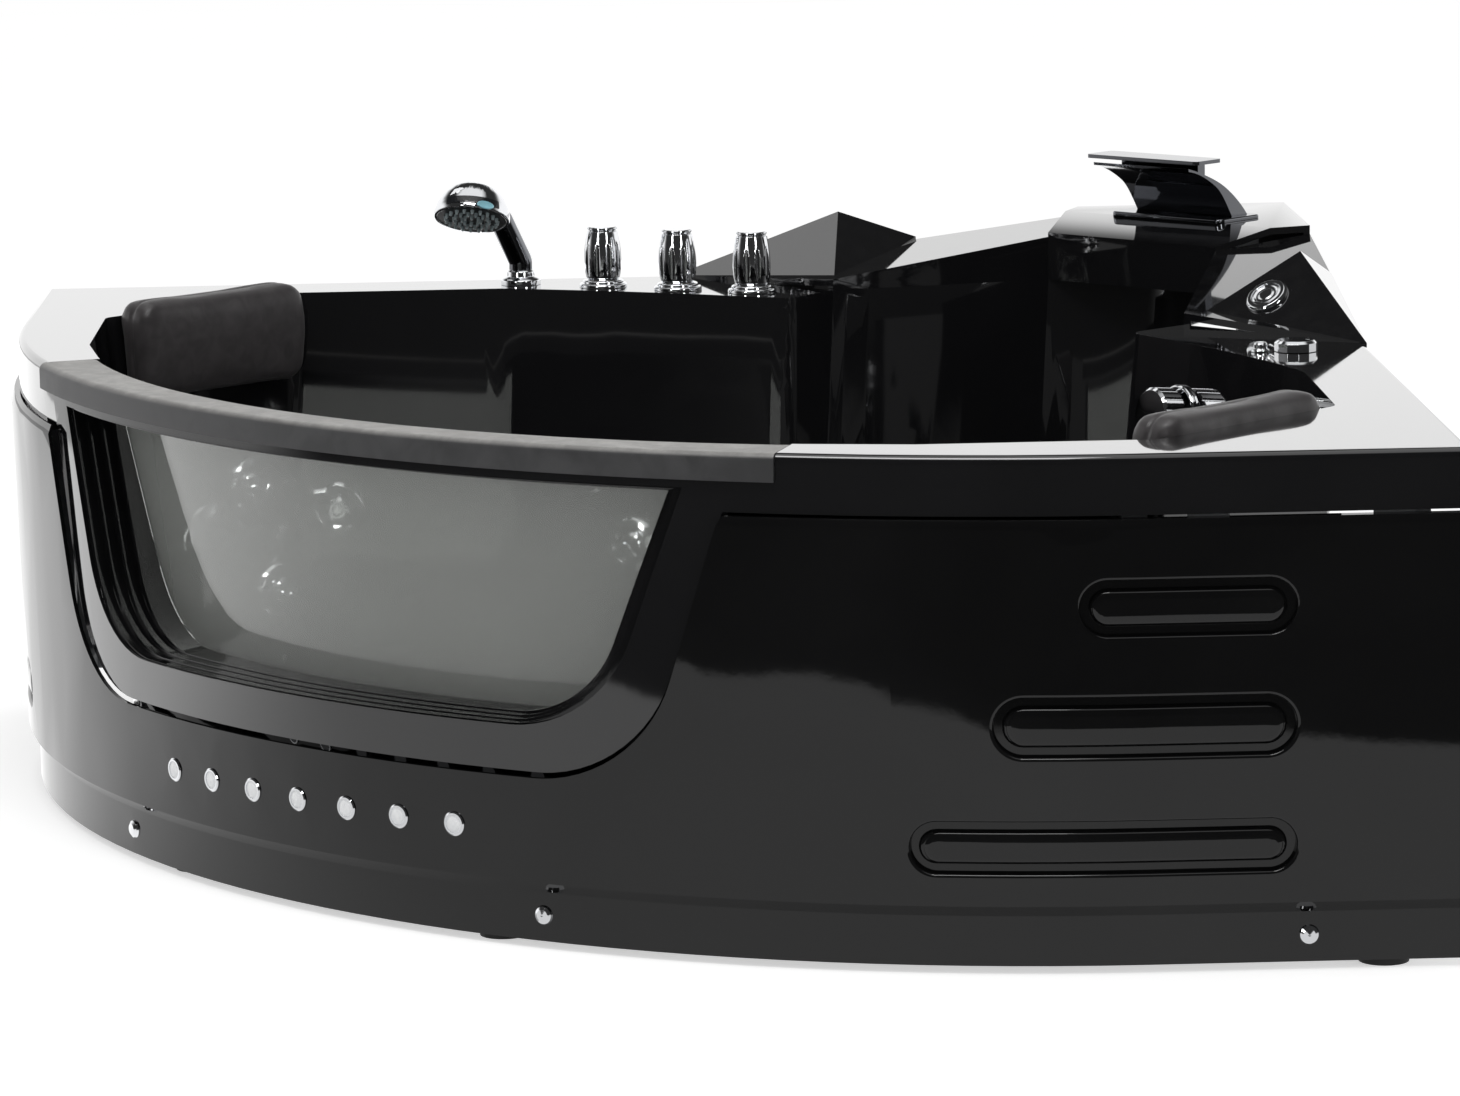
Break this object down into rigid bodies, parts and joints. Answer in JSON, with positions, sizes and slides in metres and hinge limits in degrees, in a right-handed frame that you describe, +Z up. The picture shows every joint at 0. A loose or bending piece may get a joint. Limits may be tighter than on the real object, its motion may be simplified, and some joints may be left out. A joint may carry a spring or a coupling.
{
  "type": "corner jetted bathtub",
  "caption": "Corner bathtub with a rounded windowed front, jetted basin, raised spout corner, deck taps, hand shower, headrests, apron and hidden pump frame.",
  "frame": {"origin": "on the floor, under the middle of the tub's square footprint", "axes": "+Z up; the two room walls are +X and +Y of the tub; the rounded front faces -X -Y; the tub is symmetrical about the vertical plane x = y apart from its fittings"},
  "size_m": [1.511, 1.511, 0.664],
  "materials": {
    "black_acrylic": "deep gloss black moulded acrylic",
    "black_panel": "gloss black moulded panel",
    "frame_black": "satin black moulded frame",
    "tinted_glass": "smoke tinted glass, polished",
    "rail_grey": "matte dark grey moulded foam skin",
    "pad_black": "soft black polyurethane skin, satin",
    "chrome": "polished chrome plate",
    "dark_chrome": "dark mirror chrome",
    "spray_black": "matte black nozzle face",
    "valve_brass": "machined brass, dull",
    "plumbing_grey": "grey moulded plumbing plastic",
    "pipe_white": "white plastic pipe",
    "lens_white": "milky white lens",
    "steel_frame": "grey painted square steel tube",
    "zinc_steel": "zinc plated steel",
    "foot_rubber": "black rubber",
    "pump_blue": "dark blue enamelled motor",
    "case_dark": "dark grey textured plastic case"
  },
  "bodies": {
    "tub": {"tub_shell": "black_acrylic", "front_apron": "black_panel", "window_frame": "frame_black", "suction_body": "frame_black", "jet_bodies": "frame_black", "button_body": "frame_black", "window_glass": "tinted_glass", "rail_cap": "rail_grey", "headrest_left": "pad_black", "headrest_right": "pad_black", "shower_holder": "chrome", "tap_flanges": "chrome", "button_ring": "chrome", "drain_flange": "chrome", "overflow_flange": "chrome", "suction_cover": "chrome", "bleed_cap": "chrome", "jet_rings": "chrome", "air_jets": "chrome", "led_rings": "chrome", "apron_screws": "chrome", "waterfall_spout": "dark_chrome", "spout_base": "dark_chrome", "tap_valves": "valve_brass", "spout_shank": "valve_brass", "air_valve": "valve_brass", "drain_trap": "plumbing_grey", "pump_head": "plumbing_grey", "overflow_pipe": "plumbing_grey", "water_pipe": "pipe_white", "led_lenses": "lens_white", "support_frame": "steel_frame", "apron_brackets": "steel_frame", "apron_clips": "steel_frame", "foot_studs": "zinc_steel", "foot_nuts": "zinc_steel", "headrest_plugs": "zinc_steel", "foot_pads": "foot_rubber", "pump_motor": "pump_blue", "air_blower": "case_dark", "control_box": "case_dark"},
    "tap_handle_hot": {"tap_handle_hot": "chrome"},
    "tap_handle_diverter": {"tap_handle_diverter": "chrome"},
    "tap_handle_cold": {"tap_handle_cold": "chrome"},
    "hand_shower": {"shower_head": "chrome", "shower_face": "spray_black", "shower_handle": "dark_chrome"},
    "air_button": {"air_button": "chrome"},
    "air_knob": {"air_knob": "chrome"},
    "overflow_knob": {"overflow_knob": "chrome"},
    "drain_plug": {"drain_plug": "chrome"},
    "jet_nozzle_1": {"jet_nozzle_1": "chrome"},
    "jet_nozzle_2": {"jet_nozzle_2": "chrome"},
    "jet_nozzle_3": {"jet_nozzle_3": "chrome"},
    "jet_nozzle_4": {"jet_nozzle_4": "chrome"},
    "jet_nozzle_5": {"jet_nozzle_5": "chrome"},
    "jet_nozzle_6": {"jet_nozzle_6": "chrome"},
    "jet_nozzle_7": {"jet_nozzle_7": "chrome"},
    "jet_nozzle_8": {"jet_nozzle_8": "chrome"}
  },
  "joints": [
    {"name": "tap_handle_hot_turn", "type": "hinge", "parent": "tub", "child": "tap_handle_hot", "pos_m": [-0.0715, 0.6575, 0.513], "axis": [0, 0, 1], "range_deg": [0, 90]},
    {"name": "tap_handle_diverter_turn", "type": "hinge", "parent": "tub", "child": "tap_handle_diverter", "pos_m": [0.0165, 0.6135, 0.513], "axis": [0, 0, 1], "range_deg": [-45, 45]},
    {"name": "tap_handle_cold_turn", "type": "hinge", "parent": "tub", "child": "tap_handle_cold", "pos_m": [0.1035, 0.5755, 0.513], "axis": [0, 0, 1], "range_deg": [0, 90]},
    {"name": "hand_shower_lift", "type": "slide", "parent": "tub", "child": "hand_shower", "axis": [0, 0, 1], "range_m": [0, 0.25]},
    {"name": "air_button_press", "type": "slide", "parent": "tub", "child": "air_button", "axis": [0.4339, 0.4244, -0.7948], "range_m": [0, 0.003], "stiffness_N_per_m": 900},
    {"name": "air_knob_turn", "type": "hinge", "parent": "tub", "child": "air_knob", "pos_m": [0.6715, -0.0355, 0.513], "axis": [0, 0, 1], "range_deg": [0, 180]},
    {"name": "overflow_knob_turn", "type": "hinge", "parent": "tub", "child": "overflow_knob", "pos_m": [0.55363, 0.04504, 0.431], "axis": [-0.8834, -0.4567, 0.1045], "range_deg": [0, 90]},
    {"name": "drain_plug_lift", "type": "slide", "parent": "tub", "child": "drain_plug", "axis": [0, 0, 1], "range_m": [0, 0.012]},
    {"name": "jet_nozzle_1_turn", "type": "hinge", "parent": "tub", "child": "jet_nozzle_1", "pos_m": [-0.49582, 0.58178, 0.295], "axis": [0.7032, -0.7032, 0.1045], "range_deg": [-90, 90]},
    {"name": "jet_nozzle_2_turn", "type": "hinge", "parent": "tub", "child": "jet_nozzle_2", "pos_m": [-0.46785, 0.59057, 0.166], "axis": [0.7032, -0.7032, 0.1045], "range_deg": [-90, 90]},
    {"name": "jet_nozzle_3_turn", "type": "hinge", "parent": "tub", "child": "jet_nozzle_3", "pos_m": [-0.396, 0.63333, 0.2545], "axis": [0, -0.9945, 0.1045], "range_deg": [-90, 90]},
    {"name": "jet_nozzle_4_turn", "type": "hinge", "parent": "tub", "child": "jet_nozzle_4", "pos_m": [-0.04318, 0.57075, 0.215], "axis": [-0.4025, -0.9094, 0.1045], "range_deg": [-90, 90]},
    {"name": "jet_nozzle_5_turn", "type": "hinge", "parent": "tub", "child": "jet_nozzle_5", "pos_m": [0.58178, -0.49582, 0.295], "axis": [-0.7032, 0.7032, 0.1045], "range_deg": [-90, 90]},
    {"name": "jet_nozzle_6_turn", "type": "hinge", "parent": "tub", "child": "jet_nozzle_6", "pos_m": [0.59057, -0.46785, 0.166], "axis": [-0.7032, 0.7032, 0.1045], "range_deg": [-90, 90]},
    {"name": "jet_nozzle_7_turn", "type": "hinge", "parent": "tub", "child": "jet_nozzle_7", "pos_m": [0.63333, -0.396, 0.2545], "axis": [-0.9945, 0, 0.1045], "range_deg": [-90, 90]},
    {"name": "jet_nozzle_8_turn", "type": "hinge", "parent": "tub", "child": "jet_nozzle_8", "pos_m": [0.57075, -0.04318, 0.215], "axis": [-0.9094, -0.4025, 0.1045], "range_deg": [-90, 90]}
  ],
  "couplings": [
    {"joint": "drain_plug_lift", "follows": "overflow_knob_turn", "m_per_rad": 0.0076}
  ]
}
